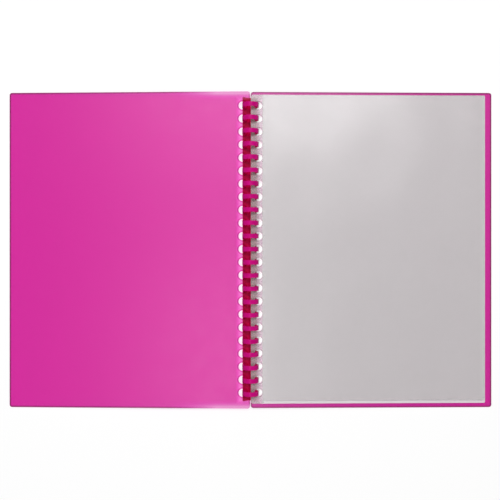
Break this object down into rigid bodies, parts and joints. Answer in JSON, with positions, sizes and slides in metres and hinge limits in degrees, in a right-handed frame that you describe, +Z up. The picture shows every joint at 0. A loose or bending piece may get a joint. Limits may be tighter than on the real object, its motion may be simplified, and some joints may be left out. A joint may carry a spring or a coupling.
{
  "type": "display book",
  "caption": "Open display book: translucent pink covers and clear open-top pockets turn on a curled plastic comb that runs through a row of round holes along the spine.",
  "frame": {"origin": "on the table below the middle of the spine and the middle of the covers' height", "axes": "+X across the open book to the right-hand leaves, +Y to the top of the pages, +Z up"},
  "size_m": [0.4732, 0.3084, 0.016],
  "materials": {
    "comb_plastic": "smooth glossy magenta polypropylene",
    "cover_board": "fine-grained translucent pink polypropylene",
    "clear_film": "clear slightly hazy polypropylene film"
  },
  "bodies": {
    "comb": {"comb": "comb_plastic"},
    "front_cover": {"front_cover": "cover_board"},
    "back_cover": {"back_cover": "cover_board"},
    "pocket_01": {"pocket_01_front_film": "clear_film", "pocket_01_back_film": "clear_film"},
    "pocket_02": {"pocket_02_front_film": "clear_film", "pocket_02_back_film": "clear_film"},
    "pocket_03": {"pocket_03_front_film": "clear_film", "pocket_03_back_film": "clear_film"},
    "pocket_04": {"pocket_04_front_film": "clear_film", "pocket_04_back_film": "clear_film"},
    "pocket_05": {"pocket_05_front_film": "clear_film", "pocket_05_back_film": "clear_film"},
    "pocket_06": {"pocket_06_front_film": "clear_film", "pocket_06_back_film": "clear_film"},
    "pocket_07": {"pocket_07_front_film": "clear_film", "pocket_07_back_film": "clear_film"},
    "pocket_08": {"pocket_08_front_film": "clear_film", "pocket_08_back_film": "clear_film"},
    "pocket_09": {"pocket_09_front_film": "clear_film", "pocket_09_back_film": "clear_film"},
    "pocket_10": {"pocket_10_front_film": "clear_film", "pocket_10_back_film": "clear_film"},
    "pocket_11": {"pocket_11_front_film": "clear_film", "pocket_11_back_film": "clear_film"},
    "pocket_12": {"pocket_12_front_film": "clear_film", "pocket_12_back_film": "clear_film"},
    "pocket_13": {"pocket_13_front_film": "clear_film", "pocket_13_back_film": "clear_film"},
    "pocket_14": {"pocket_14_front_film": "clear_film", "pocket_14_back_film": "clear_film"},
    "pocket_15": {"pocket_15_front_film": "clear_film", "pocket_15_back_film": "clear_film"},
    "pocket_16": {"pocket_16_front_film": "clear_film", "pocket_16_back_film": "clear_film"},
    "pocket_17": {"pocket_17_front_film": "clear_film", "pocket_17_back_film": "clear_film"},
    "pocket_18": {"pocket_18_front_film": "clear_film", "pocket_18_back_film": "clear_film"},
    "pocket_19": {"pocket_19_front_film": "clear_film", "pocket_19_back_film": "clear_film"},
    "pocket_20": {"pocket_20_front_film": "clear_film", "pocket_20_back_film": "clear_film"}
  },
  "joints": [
    {"name": "front_cover_turn", "type": "hinge", "parent": "comb", "child": "front_cover", "pos_m": [0, 0, 0.008], "axis": [0, 1, 0], "range_deg": [0, 177.38]},
    {"name": "back_cover_turn", "type": "hinge", "parent": "comb", "child": "back_cover", "pos_m": [0, 0, 0.008], "axis": [0, -1, 0], "range_deg": [0, 180]},
    {"name": "pocket_20_turn", "type": "hinge", "parent": "back_cover", "child": "pocket_20", "pos_m": [0, 0, 0.008], "axis": [0, -1, 0], "range_deg": [0, 180]},
    {"name": "pocket_19_turn", "type": "hinge", "parent": "pocket_20", "child": "pocket_19", "pos_m": [0, 0, 0.008], "axis": [0, -1, 0], "range_deg": [0, 180]},
    {"name": "pocket_18_turn", "type": "hinge", "parent": "pocket_19", "child": "pocket_18", "pos_m": [0, 0, 0.008], "axis": [0, -1, 0], "range_deg": [0, 180]},
    {"name": "pocket_17_turn", "type": "hinge", "parent": "pocket_18", "child": "pocket_17", "pos_m": [0, 0, 0.008], "axis": [0, -1, 0], "range_deg": [0, 180]},
    {"name": "pocket_16_turn", "type": "hinge", "parent": "pocket_17", "child": "pocket_16", "pos_m": [0, 0, 0.008], "axis": [0, -1, 0], "range_deg": [0, 180]},
    {"name": "pocket_15_turn", "type": "hinge", "parent": "pocket_16", "child": "pocket_15", "pos_m": [0, 0, 0.008], "axis": [0, -1, 0], "range_deg": [0, 180]},
    {"name": "pocket_14_turn", "type": "hinge", "parent": "pocket_15", "child": "pocket_14", "pos_m": [0, 0, 0.008], "axis": [0, -1, 0], "range_deg": [0, 180]},
    {"name": "pocket_13_turn", "type": "hinge", "parent": "pocket_14", "child": "pocket_13", "pos_m": [0, 0, 0.008], "axis": [0, -1, 0], "range_deg": [0, 180]},
    {"name": "pocket_12_turn", "type": "hinge", "parent": "pocket_13", "child": "pocket_12", "pos_m": [0, 0, 0.008], "axis": [0, -1, 0], "range_deg": [0, 180]},
    {"name": "pocket_11_turn", "type": "hinge", "parent": "pocket_12", "child": "pocket_11", "pos_m": [0, 0, 0.008], "axis": [0, -1, 0], "range_deg": [0, 180]},
    {"name": "pocket_10_turn", "type": "hinge", "parent": "pocket_11", "child": "pocket_10", "pos_m": [0, 0, 0.008], "axis": [0, -1, 0], "range_deg": [0, 180]},
    {"name": "pocket_09_turn", "type": "hinge", "parent": "pocket_10", "child": "pocket_09", "pos_m": [0, 0, 0.008], "axis": [0, -1, 0], "range_deg": [0, 180]},
    {"name": "pocket_08_turn", "type": "hinge", "parent": "pocket_09", "child": "pocket_08", "pos_m": [0, 0, 0.008], "axis": [0, -1, 0], "range_deg": [0, 180]},
    {"name": "pocket_07_turn", "type": "hinge", "parent": "pocket_08", "child": "pocket_07", "pos_m": [0, 0, 0.008], "axis": [0, -1, 0], "range_deg": [0, 180]},
    {"name": "pocket_06_turn", "type": "hinge", "parent": "pocket_07", "child": "pocket_06", "pos_m": [0, 0, 0.008], "axis": [0, -1, 0], "range_deg": [0, 180]},
    {"name": "pocket_05_turn", "type": "hinge", "parent": "pocket_06", "child": "pocket_05", "pos_m": [0, 0, 0.008], "axis": [0, -1, 0], "range_deg": [0, 180]},
    {"name": "pocket_04_turn", "type": "hinge", "parent": "pocket_05", "child": "pocket_04", "pos_m": [0, 0, 0.008], "axis": [0, -1, 0], "range_deg": [0, 180]},
    {"name": "pocket_03_turn", "type": "hinge", "parent": "pocket_04", "child": "pocket_03", "pos_m": [0, 0, 0.008], "axis": [0, -1, 0], "range_deg": [0, 180]},
    {"name": "pocket_02_turn", "type": "hinge", "parent": "pocket_03", "child": "pocket_02", "pos_m": [0, 0, 0.008], "axis": [0, -1, 0], "range_deg": [0, 180]},
    {"name": "pocket_01_turn", "type": "hinge", "parent": "pocket_02", "child": "pocket_01", "pos_m": [0, 0, 0.008], "axis": [0, -1, 0], "range_deg": [0, 180]}
  ]
}
